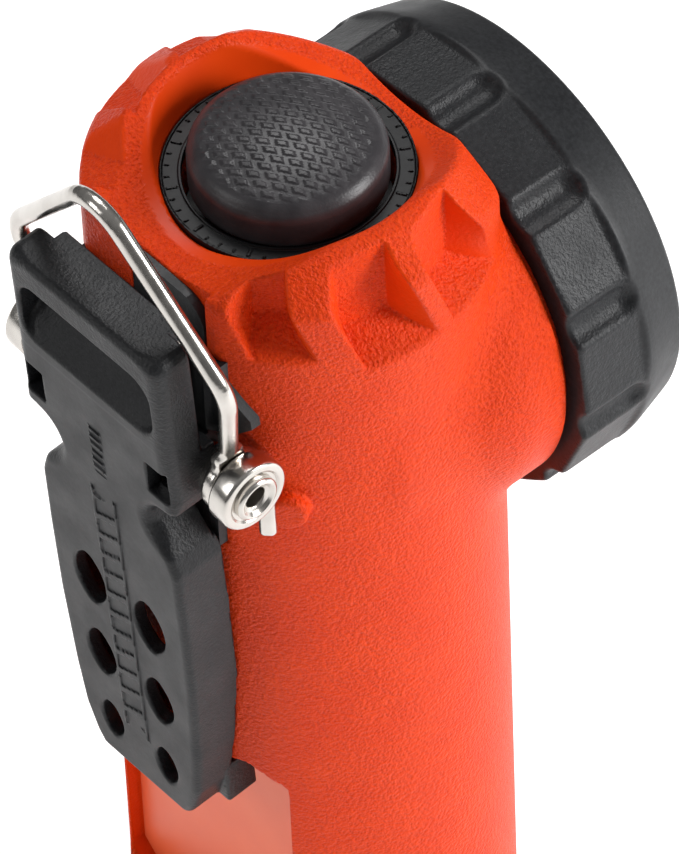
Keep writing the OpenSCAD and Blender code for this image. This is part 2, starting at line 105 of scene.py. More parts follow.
def outline(u, v, points):
    """Signed distance to a closed polygon in the plane, negative inside."""
    best = np.full(u.shape, 1e9, u.dtype)
    inside = np.zeros(u.shape, bool)
    n = len(points)
    for i in range(n):
        ax, ay = points[i - 1]
        bx, by = points[i]
        ex, ey = bx - ax, by - ay
        px, py = u - ax, v - ay
        t = np.clip((px * ex + py * ey) / (ex * ex + ey * ey), 0, 1)
        best = np.minimum(best, (px - t * ex) ** 2 + (py - t * ey) ** 2)
        crosses = (v < ay) != (v < by)
        if ey != 0:
            inside ^= crosses & (px < py * (ex / ey))
    return np.sqrt(best) * np.where(inside, -1, 1)


def spaced(*stops):
    """Grid lines from (start, step, start, step, ..., end): each stretch has its own step."""
    lines = []
    for a, step, b in zip(stops[0::2], stops[1::2], stops[2::2]):
        n = max(1, int(round((b - a) / step)))
        lines += [a + (b - a) * i / n for i in range(n)]
    return np.array(lines + [stops[-1]], np.float32)


def gradient(field, p, e=0.02):
    """Slope of a field at points, by differences over e millimetres either way."""
    g = np.empty_like(p)
    for k in range(3):
        d = np.zeros(3, p.dtype)
        d[k] = e
        hi, lo = p + d, p - d
        g[:, k] = (field(hi[:, 0], hi[:, 1], hi[:, 2]) - field(lo[:, 0], lo[:, 1], lo[:, 2])) / (2 * e)
    return g


def skin(name, field, xs, ys, zs, steps=3, masks=None):
    """The surface where a field is zero, found on a grid of cells and then pulled onto the surface."""
    dims = (len(xs), len(ys), len(zs))
    d = np.empty(dims, np.float32)
    for i, x in enumerate(xs):
        yy, zz = np.meshgrid(ys, zs, indexing="ij")
        d[i] = field(np.full_like(yy, x), yy, zz)
    solid = d < 0
    cells = tuple(n - 1 for n in dims)
    total = np.zeros(cells + (3,), np.float32)
    count = np.zeros(cells, np.int16)
    lines = (xs, ys, zs)
    quads = []
    crossings = []
    for axis in range(3):
        lo = [slice(None)] * 3
        hi = [slice(None)] * 3
        lo[axis], hi[axis] = slice(0, -1), slice(1, None)
        a, b = d[tuple(lo)], d[tuple(hi)]
        where = np.nonzero(solid[tuple(lo)] != solid[tuple(hi)])
        da, db = a[where], b[where]
        t = da / (da - db)
        at = [lines[k][where[k]] for k in range(3)]
        at[axis] = at[axis] + t * (lines[axis][where[axis] + 1] - at[axis])
        at = np.stack(at, 1)
        crossings.append((axis, where, solid[tuple(lo)][where]))
        others = [k for k in range(3) if k != axis]
        for s in (0, 1):
            for r in (0, 1):
                c = [w.copy() for w in where]
                c[others[0]] -= s
                c[others[1]] -= r
                ok = np.ones(len(da), bool)
                for k in others:
                    ok &= (c[k] >= 0) & (c[k] < cells[k])
                flat = np.ravel_multi_index([v[ok] for v in c], cells)
                np.add.at(total.reshape(-1, 3), flat, at[ok])
                np.add.at(count.reshape(-1), flat, 1)
    used = np.nonzero(count.ravel())[0]
    number = np.full(count.size, -1, np.int64)
    number[used] = np.arange(len(used))
    points = total.reshape(-1, 3)[used] / count.ravel()[used][:, None]
    for axis, where, first_solid in crossings:
        o1, o2 = [(1, 2), (2, 0), (0, 1)][axis]
        inner = np.ones(len(where[0]), bool)
        for k in (o1, o2):
            inner &= (where[k] > 0) & (where[k] < cells[k])
        w = [v[inner] for v in where]
        ids = []
        for s, r in ((1, 1), (0, 1), (0, 0), (1, 0)):
            c = [v.copy() for v in w]
            c[o1] -= s
            c[o2] -= r
            ids.append(number[np.ravel_multi_index(c, cells)])
        q = np.stack(ids, 1)
        flip = ~first_solid[inner]
        q[flip] = q[flip][:, ::-1]
        quads.append(q)
    quads = np.concatenate(quads)
    step = max(float(np.diff(v).min()) for v in lines)
    points = points.astype(np.float64)
    for _ in range(steps):
        g = gradient(field, points)
        f = field(points[:, 0], points[:, 1], points[:, 2])
        move = g * (f / np.maximum((g * g).sum(1), 0.05))[:, None]
        length = np.linalg.norm(move, axis=1)
        move *= np.minimum(1, 0.6 * step / np.maximum(length, 1e-9))[:, None]
        points -= move
    return solid_from(name, points, quads, normals=gradient(field, points), masks=masks)


def solid_from(name, points, faces, normals=None, masks=None):
    """An object from points in millimetres and faces, with given normals and point masks."""
    mesh = bpy.data.meshes.new(name)
    faces = np.asarray(faces)
    mesh.vertices.add(len(points))
    mesh.vertices.foreach_set("co", (np.asarray(points) * MM).astype(np.float32).ravel())
    size = faces.shape[1]
    mesh.loops.add(faces.size)
    mesh.loops.foreach_set("vertex_index", faces.astype(np.int32).ravel())
    mesh.polygons.add(len(faces))
    mesh.polygons.foreach_set("loop_start", np.arange(0, faces.size, size, dtype=np.int32))
    mesh.polygons.foreach_set("loop_total", np.full(len(faces), size, np.int32))
    mesh.update(calc_edges=True)
    mesh.validate()
    mesh.shade_smooth()
    if normals is not None:
        n = normals / np.maximum(np.linalg.norm(normals, axis=1), 1e-9)[:, None]
        mesh.normals_split_custom_set_from_vertices(n.astype(np.float32))
    for key, rule in (masks or {}).items():
        layer = mesh.attributes.new(key, "FLOAT", "POINT")
        layer.data.foreach_set("value", rule(*np.asarray(points).T).astype(np.float32))
    o = bpy.data.objects.new(name, mesh)
    bpy.context.scene.collection.objects.link(o)
    return o


# ---------------------------------------------------------------- the orange housing
def front_fall(x, y):
    """How far the crown's top surfaces sink towards the front."""
    side = np.clip(x / 12.0 + 0.5, 0, 1)
    return np.maximum((-y - 7.0) * 0.45 * side, 0.0) + np.maximum((-y - 10.0) * 0.55 * (1 - side), 0.0)


def crown_field(x, y, z):
    """The barrel under its sloping land, with a saddle from front to back."""
    rho = np.hypot(x, y)
    top = z - RING_Z + front_fall(x, y)
    land = ((rho - LAND_R) * LAND_DROP + (top - LAND_TOP) * LAND_WIDTH) / math.hypot(LAND_DROP, LAND_WIDTH)
    d = smax(rho - BARREL_R, land, 1.0)
    d = smax(d, top - CREST_TOP, 0.8)
    saddle = SADDLE_R - np.hypot(x, z - 0.11 * np.minimum(y, 0.0) - (RING_Z - SADDLE_LOW + SADDLE_R))
    return smax(d, saddle, 0.8)


def step_frame(x, y, z, turn):
    """Height over a shallow notch's floor, and distances inside its two sides."""
    a = math.radians(turn)
    px = x * math.cos(a) + y * math.sin(a)
    py = -x * math.sin(a) + y * math.cos(a)
    above = z - RING_Z - STEP_FLOOR + front_fall(x, y) + 0.45 * (np.hypot(x, y) - 21.3)
    ramp = (px - 19.9) * 0.3786 + (py - 8.05) * 0.9255
    other = (px - 17.8) * 0.1075 - (py - 11.5) * 0.9942
    return above, ramp, other


def step_field(x, y, z, turn):
    """One shallow notch of the far side."""
    above, ramp, other = step_frame(x, y, z, turn)
    d = smax(-above * 0.867, -(ramp * 0.6 + above * 0.8), 0.15)
    d = smax(d, -other, 0.3)
    return smax(d, (STEP_R - np.hypot(x, y)) * 0.97, 0.25)


def notch_frame(x, y, z, turn, width, lift):
    """Distances inside the back, the two sides and the floor of a deep notch."""
    rho = np.hypot(x, y)
    lean = 0.8 * (-5.0 - (z - RING_Z)) * np.clip((rho - 22.5) / 5.5, 0, 1.3)
    a = np.radians(turn + lean)
    px = x * np.cos(a) + y * np.sin(a)
    py = -x * np.sin(a) + y * np.cos(a)
    back = (-NOTCH_R - px) * 0.987 + (py - NOTCH_SIDE) * 0.164
    right = (py - NOTCH_SIDE) * 0.928 - (px + NOTCH_R) * 0.373
    left = -((py - width) * 0.927 + (px + 26.0) * 0.375)
    floor = (z - RING_Z + 5.7 - lift) * 0.766 + (rho - 22.5) * 0.643
    return back, right, left, floor


def notch_field(x, y, z, notch):
    """One deep notch of the near side."""
    back, right, left, floor = notch_frame(x, y, z, *notch)
    d = smax(-back, -right, 0.3)
    d = smax(d, -left, 0.3)
    return smax(d, -floor, 0.3)


def head_shape(x, y, z):
    """The head, flared out of the barrel, and the distance from its axis."""
    hr = np.hypot(x, z - HEAD_Z)
    t = np.clip((1.0 - y) / 17.0, 0, 1)
    flare = BARREL_R - 1.0 + (HEAD_R - BARREL_R + 1.0) * t * t * (3 - 2 * t)
    return smax(hr - flare, y - 7.0, 3.0), hr


def panel_field(x, y, z):
    """The recess round the smooth back panel, its corners cut off."""
    across = np.abs(x) - PANEL_HALF_W
    up = np.abs(z - PANEL_Z) - PANEL_HALF_H
    corner = (across + up + PANEL_CORNER) * 0.7071
    return smax(smax(smax(across, up, 0.3), corner, 0.3), PANEL_Y - y, 0.4)


def housing_field(x, y, z):
    """The whole orange moulding, hollow inside."""
    rho = np.hypot(x, y)
    d = crown_field(x, y, z)
    head, hr = head_shape(x, y, z)
    d = smin(d, head, 2.4)
    front = np.maximum(y + HEAD_FRONT, np.minimum(hr - CAP_R - 0.8, HEAD_Z - z))
    d = cut(d, front, 0.7)
    for notch in NOTCHES:
        d = cut(d, notch_field(x, y, z, notch), 0.45)
    for angle in STEP_ANGLES:
        d = cut(d, step_field(x, y, z, angle), 0.5)
    d = smax(d, 15.0 - z, 0.5)
    spigot = np.maximum(np.maximum(hr - SPIGOT_R, y + SPIGOT_BACK), -SPIGOT_END - y)
    d = smin(d, spigot, 0.4)
    d = smin(d, np.maximum(rho - TAIL_SPIGOT_R, slab(z, 5.0, 20.0)), 0.3)
    # a round lug on each side, beside the spring anchors
    along = np.abs(x) * LUG_COS + y * LUG_SIN - BARREL_R
    across = np.hypot(-np.abs(x) * LUG_SIN + y * LUG_COS, z - LUG_Z)
    d = smin(d, smax(across - LUG_R, along - LUG_OUT, 0.9), 0.5)
    # the back's flat, the pivot's room and the panel
    d = cut(d, np.maximum(24.6 - y, 128.0 - z), 0.4)
    d = cut(d, np.maximum(np.maximum(23.2 - y, slab(x, -11.2, 3.8)), 162.0 - z), 0.2)
    d = cut(d, np.maximum(np.hypot(y - PIVOT_Y, z - PIVOT_Z) - 5.6, np.abs(x) - 24.0), 0.4)
    d = cut(d, panel_field(x, y, z), 0.5)
    # wells and bores
    cone = (rho - WELL_R - 0.415 * np.maximum(z - RING_Z, 0.0)) * 0.925
    d = cut(d, np.maximum(cone, RING_Z - WELL_DEPTH - z), 0.4)
    d = cut(d, np.maximum(rho - 14.4, 162.0 - z), 0.1)
    bore = np.maximum(np.maximum(rho - CELL_BORE_R, z - 98.0), np.minimum(y - 15.5, z - 19.0))
    chamber = np.maximum(rho - CHAMBER_R, slab(z, 90.0, 163.0))
    d = cut(d, np.minimum(bore, chamber), 0.2)
    return cut(d, np.maximum(hr - HEAD_BORE_R + 0.5 * np.maximum(y + 13.0, 0.0), y + 1.0), 0.3)


def notch_wall(x, y, z):
    """1 on the smooth walls of the notches, the well's rim and the panel, 0 on the textured plastic."""
    rho = np.hypot(x, y)
    m = np.clip((19.75 - rho) / 0.4, 0, 1) * (z > RING_Z - 2.5)
    near = np.clip(-x - 15, 0, 1)
    for notch in NOTCHES:
        back, right, left, floor = notch_frame(x, y, z, *notch)
        wall = (np.abs(right) < 0.4) & (back > 0.2) & (floor > 0.3) & (rho < BARREL_R - 0.15)
        m = np.maximum(m, 0.8 * wall * near)
    for turn in STEP_ANGLES:
        above, ramp, other = step_frame(x, y, z, turn)
        wall = (np.abs(ramp * 0.6 + above * 0.8) < 0.35) & (above > 0.25)
        m = np.maximum(m, 0.8 * (wall & (rho > STEP_R) & (rho < BARREL_R - 0.2)) * (x > 12))
    panel = (panel_field(x, y, z) < 0.2) & (y < 24)
    return np.maximum(m, 0.8 * panel)


housing = skin("housing_skin", housing_field,
               spaced(-32.4, 0.5, 32.4), spaced(-37.4, 0.5, 29.0),
               spaced(4.0, 1.0, 24.0, 0.6, 28.0, 2.0, 76.0, 0.7, 84.0, 1.5, 100.0, 0.6, 162.0, 0.42, 181.2),
               masks={"smooth": notch_wall})
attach(housing, "body")
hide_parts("housing")


# ---------------------------------------------------------------- turned and swept pieces
def rounded(points, radius, n=4, closed=True):
    """The outline with each corner turned into an arc; radius is one number or one for each corner."""
    out = []
    count = len(points)
    for i, p in enumerate(points):
        r = radius[i] if hasattr(radius, "__len__") else radius
        if r <= 0 or (not closed and i in (0, count - 1)):
            out.append(tuple(p))
            continue
        p = np.array(p, float)
        a = np.array(points[i - 1], float) - p
        b = np.array(points[(i + 1) % count], float) - p
        la, lb = np.linalg.norm(a), np.linalg.norm(b)
        a, b = a / la, b / lb
        half = math.acos(float(np.clip(a @ b, -1, 1))) / 2
        if half > 1.5:
            out.append(tuple(p))
            continue
        back = min(r / math.tan(half), 0.48 * la, 0.48 * lb)
        r = back * math.tan(half)
        centre = p + (a + b) / np.linalg.norm(a + b) * (r / math.sin(half))
        start, end = p + a * back - centre, p + b * back - centre
        turn = math.atan2(start[0] * end[1] - start[1] * end[0], float(start @ end))
        for k in range(n + 1):
            t = turn * k / n
            out.append((centre[0] + start[0] * math.cos(t) - start[1] * math.sin(t),
                        centre[1] + start[0] * math.sin(t) + start[1] * math.cos(t)))
    return out


def lathe(name, profile, place, turns=96, angle=32):
    """A closed (radius, height) profile turned about an axis; place maps (a, b, height) to (x, y, z)."""
    k = len(profile)
    t = np.arange(turns) * 2 * math.pi / turns
    r = np.array([q[0] for q in profile])
    h = np.array([q[1] for q in profile])
    a = np.outer(np.cos(t), r)
    b = np.outer(np.sin(t), r)
    points = place(a.ravel(), b.ravel(), np.tile(h, turns))
    i, j = np.meshgrid(np.arange(turns), np.arange(k), indexing="ij")
    i, j = i.ravel(), j.ravel()
    i2, j2 = (i + 1) % turns, (j + 1) % k
    faces = np.stack([i * k + j, i2 * k + j, i2 * k + j2, i * k + j2], 1)
    return tidied(solid_from(name, np.stack(points, 1), faces), angle)


def tidied(o, angle):
    """Doubled points joined, faces turned outwards, and edges sharper than the angle kept sharp."""
    bm = bmesh.new()
    bm.from_mesh(o.data)
    bmesh.ops.remove_doubles(bm, verts=bm.verts, dist=1e-7)
    bmesh.ops.dissolve_degenerate(bm, dist=1e-7, edges=bm.edges)
    bmesh.ops.recalc_face_normals(bm, faces=bm.faces)
    bm.to_mesh(o.data)
    bm.free()
    o.data.shade_smooth()
    o.data.set_sharp_from_angle(angle=math.radians(angle))
    return o


def sweep(name, path, radius, sides=16):
    """A round wire along a path, closed at both ends with domes."""
    path = np.array(path, float)
    tangent = np.gradient(path, axis=0)
    tangent /= np.linalg.norm(tangent, axis=1)[:, None]
    w = np.arange(sides) * 2 * math.pi / sides
    side = np.cross(tangent[0], (0.3, 0.5, 0.81))
    frames = []
    for p, t in zip(path, tangent):
        side = side - t * (side @ t)
        side /= np.linalg.norm(side)
        frames.append((p, t, side.copy(), np.cross(t, side)))

    def ring_at(frame_at, share, shift):
        p, t, s, u = frame_at
        around = np.outer(np.cos(w), s) + np.outer(np.sin(w), u)
        return p + t * radius * shift + radius * share * around

    dome = [(q, 0.7 * math.sqrt(1 - q * q)) for q in (0.02, 0.4, 0.75, 0.95)]
    full = [ring_at(frames[0], q, -h) for q, h in dome]
    full += [ring_at(f, 1.0, 0.0) for f in frames]
    full += [ring_at(frames[-1], q, h) for q, h in reversed(dome)]
    n = len(full)
    i, j = np.meshgrid(np.arange(n - 1), np.arange(sides), indexing="ij")
    i, j = i.ravel(), j.ravel()
    j2 = (j + 1) % sides
    faces = np.stack([i * sides + j, i * sides + j2, (i + 1) * sides + j2, (i + 1) * sides + j], 1)
    return tidied(solid_from(name, np.concatenate(full), faces), 50)


def joined(name, objects):
    """One object from several."""
    for o in bpy.context.selected_objects:
        o.select_set(False)
    for o in objects:
        o.select_set(True)
    bpy.context.view_layer.objects.active = objects[0]
    bpy.ops.object.join()
    objects[0].name = name
    return objects[0]


def forwards(a, b, h):
    """Turned about the beam's axis: height runs from the barrel's axis towards the lens."""
    return (a, -h, HEAD_Z + b)


def sideways(sign):
    """Turned about the pivot's axis, towards -X or +X."""
    return lambda a, b, h: (sign * h, PIVOT_Y + a, PIVOT_Z + b)


# ---------------------------------------------------------------- switch
def button_field(x, y, z):
    """The domed button, hollow underneath."""
    r = np.hypot(x, y)
    h = z - (RING_Z - 1.0)
    dome = 8.6 - 1.6 * (np.minimum(r, 13.0) / 11.0) ** 2
    # rows of small raised lozenges, each row set off by half a step from the next
    a = ROW_COS * x + ROW_SIN * y
    b = -ROW_SIN * x + ROW_COS * y
    row = np.round(b / ROW)
    along = a - PITCH / 2 * np.mod(row, 2)
    cell = along - PITCH * np.round(along / PITCH)
    across = b - ROW * row
    lozenge = np.clip(1.0 - np.maximum(np.abs(cell + 0.5 * across) / 0.95, np.abs(across) / 0.5), 0, 0.4)
    fade = np.clip((12.0 - r) / 1.0, 0, 1)
    top = (h - dome - LOZENGE_HEIGHT * lozenge * fade) * 0.93
    d = smax(r - BUTTON_R, top, 2.1)
    d = np.maximum(d, -h)
    return cut(d, np.maximum(r - 11.6, h - 3.8), 0.2)


button = skin("button_skin", button_field, spaced(-14.0, 0.18, 14.0), spaced(-14.0, 0.18, 14.0),
              spaced(172.8, 0.6, 176.0, 0.3, 179.0, 0.2, 182.2))
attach(button, "button")
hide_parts("switch_button")


def ring_field(x, y, z):
    """The switch ring with its raised inner lip and outer rim."""
    r = np.hypot(x, y)
    h = z - RING_Z
    d = smax(np.maximum(14.4 - r, r - 17.25), np.maximum(h + 0.25, -1.6 - h), 0.12)
    lip = np.maximum(np.maximum(14.4 - r, r - 14.75), np.maximum(h, -1.0 - h))
    rim = np.maximum(np.maximum(16.95 - r, r - 17.25), np.maximum(h + 0.05, -1.0 - h))
    d = smin(smin(d, lip, 0.1), rim, 0.1)
    turn = np.degrees(np.arctan2(y, x))
    # plain tick marks: long ones every 30 degrees and short ones between
    for step, r0, r1, wide in ((30.0, 15.15, 16.6, 0.17), (7.5, 16.05, 16.6, 0.12)):
        off = np.radians(turn - step * np.round(turn / step)) * r
        tick = np.maximum(np.abs(off) - wide, np.maximum(r0 - r, r - r1))
        d = smin(d, np.maximum(tick, np.abs(h + 0.3) - 0.27), 0.06)
    return d


ring = skin("ring_skin", ring_field, spaced(-17.6, 0.17, 17.6), spaced(-17.6, 0.17, 17.6),
            spaced(172.2, 0.3, 173.4, 0.12, 174.2), steps=2)
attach(ring, "body")
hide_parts("switch_ring")


# ---------------------------------------------------------------- facecap, lens and reflector
def facecap_field(x, y, z):
    """The facecap: twelve flats, twelve grooves and a coned front."""
    dz = z - HEAD_Z
    r = np.hypot(x, dz)
    t = -y
    d = smax(r - CAP_R, CAP_REAR - t, 1.2)
    cone = ((r - CAP_R) * 8.3 + (t - CAP_RIDGE) * 2.25) / 8.6
    d = smax(d, cone, 0.5)
    d = smax(d, t - CAP_FRONT, 0.8)
    turn = np.degrees(np.arctan2(dz, x))
    for centre, is_groove in ((23.0, False), (8.0, True)):
        off = np.radians(turn - centre - 30.0 * np.round((turn - centre) / 30.0))
        u, v = r * np.cos(off), r * np.sin(off)
        if is_groove:
            beyond = np.maximum(t - (CAP_RIDGE - 2.6), 0)
            d = cut(d, np.sqrt((u - 36.15) ** 2 + v * v + beyond ** 2) - 3.25, 0.7)
        else:
            # a flat between two grooves, ending in a curved step at the ridge
            d = cut(d, smax(33.75 - u, (t - CAP_RIDGE - 0.3) * 0.9, 1.0), 0.5)
    d = cut(d, np.maximum(r - 29.65, t - 36.8), 0.1)
    d = cut(d, np.maximum(r - 28.8, t - 40.7), 0.1)
    mouth = np.maximum(r - 26.6 - 2.2 * np.clip((t - 40.6) / 0.8, 0, 1), -t)
    return cut(d, mouth, 0.25)


def facecap_smooth(x, y, z):
    """1 on the facecap's smooth front and inside, 0 on its grainy grip."""
    r = np.hypot(x, z - HEAD_Z)
    front = np.clip((-y - CAP_RIDGE + 0.5) / 0.4, 0, 1)
    inside = (r < 32.9) * 1.0
    return np.maximum(front, inside)


facecap = skin("facecap_skin", facecap_field, spaced(-35.1, 0.45, 35.1),
               spaced(-41.9, 0.35, -21.8), spaced(101.7, 0.45, 171.9),
               steps=4, masks={"smooth": facecap_smooth})
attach(facecap, "facecap")
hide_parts("facecap")

lens = lathe("lens_skin", rounded([(0.01, 37.6), (28.6, 37.6), (28.6, 40.6), (0.01, 40.6)],
                                  [0, 0.2, 0.35, 0]), forwards)
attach(lens, "lens_unit")
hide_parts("lens")

cup = [(26.5, 36.4), (26.5, 35.3), (25.95, 35.2)]
cup += [(5.0 + 20.9 * i / 30, 14.0 + 20.4 * (i / 30) ** 2) for i in range(29, -1, -1)]
cup += [(4.2, 14.0), (4.2, 15.2)]
cup += [(4.2 + 20.5 * i / 30, 15.2 + 20.6 * (i / 30) ** 2) for i in range(1, 31)]
cup += [(25.2, 36.4)]
reflector = lathe("reflector_skin", cup, forwards, 128)
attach(reflector, "body")
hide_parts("reflector")


# ---------------------------------------------------------------- belt clip
def clip_frame(y, z):
    """Height above the pivot along the leaning clip, and distance out from its plane."""
    c, s = math.cos(CLIP_LEAN), math.sin(CLIP_LEAN)
    return (y - PIVOT_Y) * s + (z - PIVOT_Z) * c, (y - PIVOT_Y) * c - (z - PIVOT_Z) * s


# half outlines of the clip's plate and of the hollow behind it, and the radius of each corner
CLIP_EDGE = rounded([(-20, -76), (8.9, -76), (10.4, -73.6), (12.1, -68.6), (13.1, -60), (14.1, -44),
                     (14.3, -30), (14.2, -18.5), (13.2, -15.4), (9.3, -10.6), (9.1, -8.2), (11.4, -5.6),
                     (15.3, -4.4), (15.6, -2.0), (15.6, 27), (-20, 27)],
                    [0, 1.6, 3, 5, 8, 10, 10, 3, 3, 1.8, 1.8, 1.8, 1.4, 1.5, 2.2, 0])
CLIP_HOLLOW = rounded([(-20, -73.6), (7.4, -73.6), (9.3, -70.6), (10.3, -66), (11.1, -56), (11.8, -44),
                       (12, -30), (11.9, -19), (11.2, -17), (6.8, -10), (6.8, -8), (8, -6.2),
                       (12.7, -3.2), (12.7, 24), (-20, 24)],
                      [0, 1, 1, 3, 3, 3, 3, 2, 1, 1, 1, 1, 1, 1, 0])
# centre, half width and half height of each leaf-shaped hole
CLIP_HOLES = ((6.2, -35.8, 3.2, 5.6), (6.1, -52.4, 2.9, 5.0), (5.8, -67.4, 2.2, 4.0))


def clip_field(x, y, z):
    """The belt clip's plate with its teeth, ears, slot, holes and ladder."""
    u = np.abs(x)
    v, w = clip_frame(y, z)
    edge = outline(u, v, CLIP_EDGE)
    round_by = 1.25 + 1.0 * np.clip((v + 5) / 4, 0, 1) * np.clip((u - 11.0) / 2.5, 0, 1)
    d = smax(np.maximum(edge, 0.4 - w), w - CLIP_FACE, round_by)
    tooth = block(u, w, v, (8.4, -1.8, -74.6), (12.3, 3.4, -67.2), 0.4)
    ear = np.maximum(np.hypot(v, w) - 3.8, slab(u, 12.7, 15.3))
    d = smin(smin(d, tooth, 0.3), ear, 0.3)
    hollow = np.maximum(outline(u, v, CLIP_HOLLOW), w - 6.33)
    d = cut(d, hollow, 0.35)
    # the thumb slot, with a slanted lip below it
    lip = block(u, w, v, (-14.0, 4.3, 8.6), (13.6, 8.4, 15.2), 0.5)
    d = smin(d, lip, 0.4)
    slot = block(u, w, v, (-30.0, -9.0, 10.6), (13.3, 12.0, 21.8), 3.6)
    slope = ((v - 10.4) * 4.4 + (w - 8.9) * 5.0) / 6.66
    d = cut(d, smax(slot, -slope, 0.8), 0.55)
    # square holes and the three pairs of leaf-shaped holes
    d = cut(d, block(u, w, v, (10.65, -9.0, -1.7), (14.55, 12.0, 4.3), 0.15), 0.25)
    for cu, cv, half_w, half_h in CLIP_HOLES:
        big = (half_h ** 2 + half_w ** 2) / (2 * half_w)
        shift = big - half_w
        leaf = smax(np.hypot(u - cu + shift, v - cv) - big, np.hypot(u - cu - shift, v - cv) - big, 0.9)
        d = cut(d, np.maximum(leaf, 4.0 - w), 0.45)
    # the scoop at the waist
    scoop = (np.sqrt(((u - 12.9) / 4.6) ** 2 + ((v + 9.4) / 5.0) ** 2 + ((w - 9.6) / 3.2) ** 2) - 1) * 3.2
    d = cut(d, scoop, 0.9)
    # clearances for the bracket, the ring's rivet and the barrel
    d = cut(d, np.maximum(np.maximum(11.7 - u, w - 2.6), 6.0 - v), 0.4)
    d = cut(d, np.maximum(np.maximum(8.0 - u, w - 0.9), slab(v, -15.8, -4.6)), 0.4)
    d = cut(d, np.hypot(v, w) - 2.55, 0.1)
    d = cut(d, np.maximum(np.maximum(u - 12.0, y - PIVOT_Y - 2.2), PIVOT_Z - 4.0 - z), 0.2)
    d = cut(d, np.maximum(np.hypot(x, y) - 28.4, 80.7 - z), 0.2)
    # a plain raised ladder down the middle of the face
    rung = v + 0.42 * x
    rung = rung - 4.3 * np.round(rung / 4.3)
    bars = np.maximum(np.maximum(np.abs(rung) - 0.62, np.abs(x) - 2.5), slab(v, -63.5, -13.5))
    rails = np.maximum(np.abs(np.abs(x) - 2.3) - 0.28, slab(v, -65.0, -12.0))
    small = np.maximum(np.abs(v - 1.6 * np.round(v / 1.6)) - 0.3,
                       np.maximum(np.abs(x) - 1.1, slab(v, -7.8, 2.6)))
    raised = np.minimum(np.minimum(bars, rails), small)
    return smin(d, np.maximum(raised, np.abs(w - CLIP_FACE) - 0.28), 0.16)


def clip_face(x, y, z):
    """1 on the clip's smoother face, 0 on its grainy top, lip and sides."""
    v, w = clip_frame(y, z)
    return np.clip((w - 8.3) / 0.3, 0, 1) * np.clip((11.5 - v) / 1.5, 0, 1)


clip = skin("clip_skin", clip_field, spaced(-16.8, 0.36, 16.8), spaced(20.2, 0.3, 38.2),
            spaced(70.6, 0.4, 175.4), steps=4, masks={"smooth": clip_face})
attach(clip, "clip")
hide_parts("belt_clip")

# ---------------------------------------------------------------- D-ring, rivet and washers
RING_FOOT, RING_CORNER, RING_TOP = (18.05, 3.6), (21.7, 21.4), (0.0, 47.7)
RING_PATH = rounded([RING_FOOT, RING_CORNER, RING_TOP,
                     (-RING_CORNER[0], RING_CORNER[1]), (-RING_FOOT[0], RING_FOOT[1])],
                    [0, 7, 6, 7, 0], 10, closed=False)


def d_ring_field(x, y, z):
    """The bent wire and its two flattened eyes."""
    c, s = math.cos(RING_LEAN), math.sin(RING_LEAN)
    v = (y - PIVOT_Y) * s + (z - PIVOT_Z) * c
    w = (y - PIVOT_Y) * c - (z - PIVOT_Z) * s
    best = np.full(np.shape(x), 1e9)
    for (au, av), (bu, bv) in zip(RING_PATH[:-1], RING_PATH[1:]):
        eu, ev = bu - au, bv - av
        t = np.clip(((x - au) * eu + (v - av) * ev) / (eu * eu + ev * ev), 0, 1)
        best = np.minimum(best, (x - au - t * eu) ** 2 + (v - av - t * ev) ** 2)
    wire = np.sqrt(best + w * w) - WIRE_R
    u = np.abs(x)
    eye = smax(np.hypot(v, w) - EYE_R, slab(u, EYE_IN, EYE_OUT), 0.55)
    neck = block(u, w, v, (16.95, -2.3, 1.0), (19.15, 2.3, 6.4), 0.8)
    d = smin(wire, smin(eye, neck, 0.8), 1.6)
    d = np.maximum(d, slab(u, -1.0, EYE_OUT + np.clip(v - 6.0, 0, 30) * 0.9))
    d = np.where(v < 7.0, np.maximum(d, EYE_IN - u), d)
    return cut(d, np.hypot(v, w) - 2.6, 0.1)


d_ring = skin("d_ring_skin", d_ring_field, spaced(-23.6, 0.3, 23.6), spaced(21.0, 0.3, 36.6),
              spaced(142.0, 0.3, 197.6), steps=4)
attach(d_ring, "d_ring")
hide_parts("d_ring")

washer_profile = rounded([(RIVET_R, 19.25), (5.5, 19.25), (5.5, 22.8), (4.3, 22.8), (3.9, 22.4),
                          (RIVET_R, 22.4)], [0, 0.5, 0.95, 0.2, 0.15, 0])
flange_profile = rounded([(RIVET_BORE_R, 15.0), (RIVET_R, 15.0), (RIVET_R, 22.2), (3.4, 22.4), (3.4, 23.3),
                          (2.8, 23.7), (2.2, 23.1), (RIVET_BORE_R, 22.8)],
                         [0, 0, 0, 0.15, 0.35, 0.3, 0.3, 0.3])
tube_profile = [(RIVET_BORE_R, -15.0), (RIVET_R, -15.0), (RIVET_R, 15.0), (RIVET_BORE_R, 15.0)]
washers = [lathe("washer", washer_profile, sideways(sign), 96, 40) for sign in (-1, 1)]
flanges = [lathe("flange", flange_profile, sideways(sign), 96, 40) for sign in (-1, 1)]
flanges.append(lathe("tube", tube_profile, sideways(1), 64, 40))
washers = joined("washers_skin", washers)
rivet = joined("rivet_skin", flanges)
for piece, node in ((washers, "pivot_washers"), (rivet, "pivot_rivet")):
    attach(piece, "body")
    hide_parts(node)

coil = [(-8.15 + COIL_LENGTH * i / 180, PIVOT_Y + COIL_R * math.cos(i * math.pi / 18),
         PIVOT_Z + COIL_R * math.sin(i * math.pi / 18)) for i in range(181)]
leg = [(-8.6, PIVOT_Y + 0.4, PIVOT_Z + COIL_R + i) for i in range(20)]
spring = joined("spring_skin", [sweep("coil", coil, COIL_WIRE_R), sweep("leg", leg, COIL_WIRE_R)])
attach(spring, "body")
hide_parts("torsion_spring")


